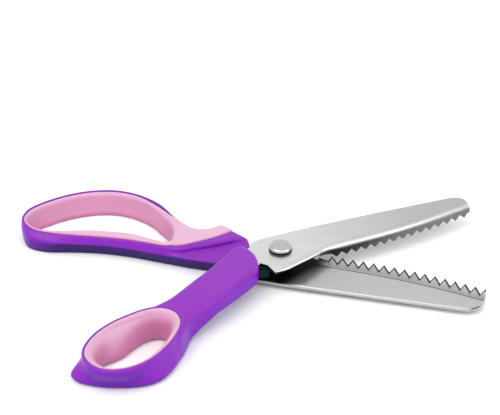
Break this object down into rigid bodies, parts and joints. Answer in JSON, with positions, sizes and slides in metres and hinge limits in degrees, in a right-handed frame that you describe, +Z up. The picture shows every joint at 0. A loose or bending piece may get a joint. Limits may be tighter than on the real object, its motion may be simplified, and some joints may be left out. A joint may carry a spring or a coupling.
{
  "type": "pinking shears",
  "caption": "Pinking shears with interlocking zig-zag blade edges, a pivot screw and moulded loop handles with soft linings, resting open.",
  "frame": {"origin": "foot of the pivot axis, at the centre of the pivot nut's flat underside", "axes": "+Z up the pivot axis towards the screw head, +X from the pivot towards the blade tips, +Y to the left, so the finger loop lies towards -X and +Y and the thumb loop towards -X and -Y"},
  "size_m": [0.2159, 0.1511, 0.0161],
  "materials": {
    "blade_steel": "satin, grained along the blade",
    "screw_steel": "turned, satin",
    "dark_steel": "dark, oiled",
    "dark_nylon": "semi-matte",
    "purple_plastic": "satin gloss",
    "pink_rubber": "soft matte"
  },
  "bodies": {
    "finger_half": {"lower_blade": "blade_steel", "pivot_screw": "screw_steel", "head_washer": "dark_steel", "pivot_bush": "dark_nylon", "spring_washer": "dark_steel", "pivot_nut": "screw_steel", "heel_block": "dark_nylon", "finger_handle": "purple_plastic", "finger_grip": "pink_rubber"},
    "thumb_half": {"upper_blade": "blade_steel", "thumb_handle": "purple_plastic", "thumb_grip": "pink_rubber"}
  },
  "joints": [
    {"name": "blade_pivot", "type": "hinge", "parent": "finger_half", "child": "thumb_half", "pos_m": [0, 0, 0], "axis": [0, 0, 1], "range_deg": [-40.5, 5]}
  ]
}
